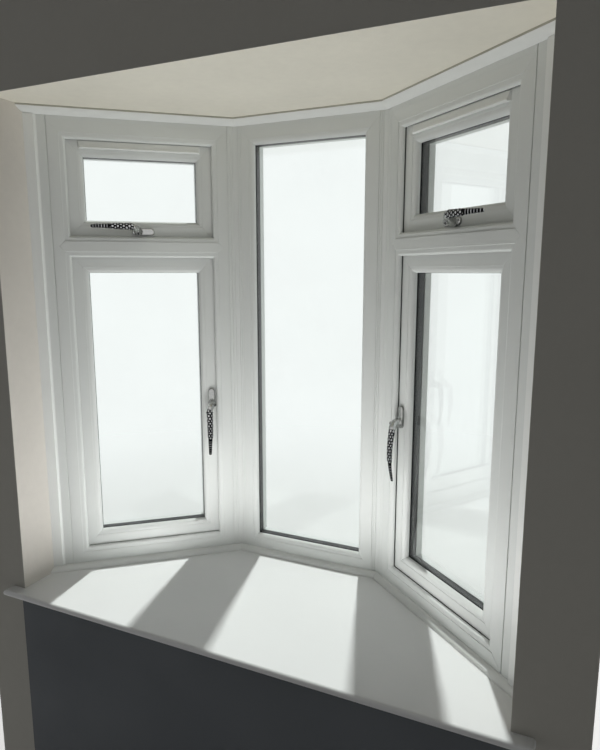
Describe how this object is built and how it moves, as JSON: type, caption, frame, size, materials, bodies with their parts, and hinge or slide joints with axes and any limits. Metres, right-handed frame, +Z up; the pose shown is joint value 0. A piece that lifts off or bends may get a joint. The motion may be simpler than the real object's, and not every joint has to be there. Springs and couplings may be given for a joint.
{
  "type": "bay window",
  "caption": "Splayed bay window: a fixed centre light between side lights with casements under fanlights, on brick walls, with a deep inside board and a low hipped roof.",
  "frame": {"origin": "On the ground, under the middle of the part's length and depth", "axes": "+Z is up, +Y points outwards through the centre light and +X points right seen from the room"},
  "size_m": [1.672, 0.718, 2.541],
  "materials": {
    "brickwork": "matt clay brick",
    "wall_plaster": "matt painted plaster",
    "bulkhead_plaster": "matt painted plaster",
    "apron_paint": "matt dark blue-grey paint",
    "ceiling_paint": "matt cream paint",
    "painted_timber": "gloss white paint",
    "roof_timber": "sawn softwood",
    "lead_sheet": "dull grey sheet lead",
    "white_pvc": "satin white PVC",
    "white_board": "smooth white board",
    "window_glass": "clear glass",
    "black_seal": "matt black rubber",
    "handle_metal": "bright metal",
    "lever_metal": "hammered pewter metal"
  },
  "bodies": {
    "root": {"apron_wall": "apron_paint", "bulkhead": "bulkhead_plaster", "ceiling_board": "ceiling_paint", "centre_beads": "white_pvc", "centre_dwarf_wall": "brickwork", "centre_frame": "white_pvc", "centre_glass": "window_glass", "cill_trim": "white_pvc", "eaves_soffit": "painted_timber", "fascia": "painted_timber", "frame_extensions": "white_pvc", "glazing_seals": "black_seal", "handle_bases": "handle_metal", "handle_levers": "lever_metal", "head_trim": "white_pvc", "jamb_trims": "white_pvc", "left_beads": "white_pvc", "left_casement_glass": "window_glass", "left_casement_sash": "white_pvc", "left_dwarf_wall": "brickwork", "left_fanlight_glass": "window_glass", "left_fanlight_sash": "white_pvc", "left_frame": "white_pvc", "left_pier": "brickwork", "left_pole": "white_pvc", "left_pole_cover": "white_pvc", "left_wall_plaster": "wall_plaster", "outside_cill": "white_pvc", "right_beads": "white_pvc", "right_casement_glass": "window_glass", "right_casement_sash": "white_pvc", "right_dwarf_wall": "brickwork", "right_fanlight_glass": "window_glass", "right_fanlight_sash": "white_pvc", "right_frame": "white_pvc", "right_pier": "brickwork", "right_pole": "white_pvc", "right_pole_cover": "white_pvc", "right_wall_plaster": "wall_plaster", "roof_covering": "lead_sheet", "roof_deck": "roof_timber", "roof_flashing": "lead_sheet", "sash_seals": "black_seal", "spacer_bars": "black_seal", "trickle_vents": "white_pvc", "window_board": "white_board"}
  },
  "joints": []
}
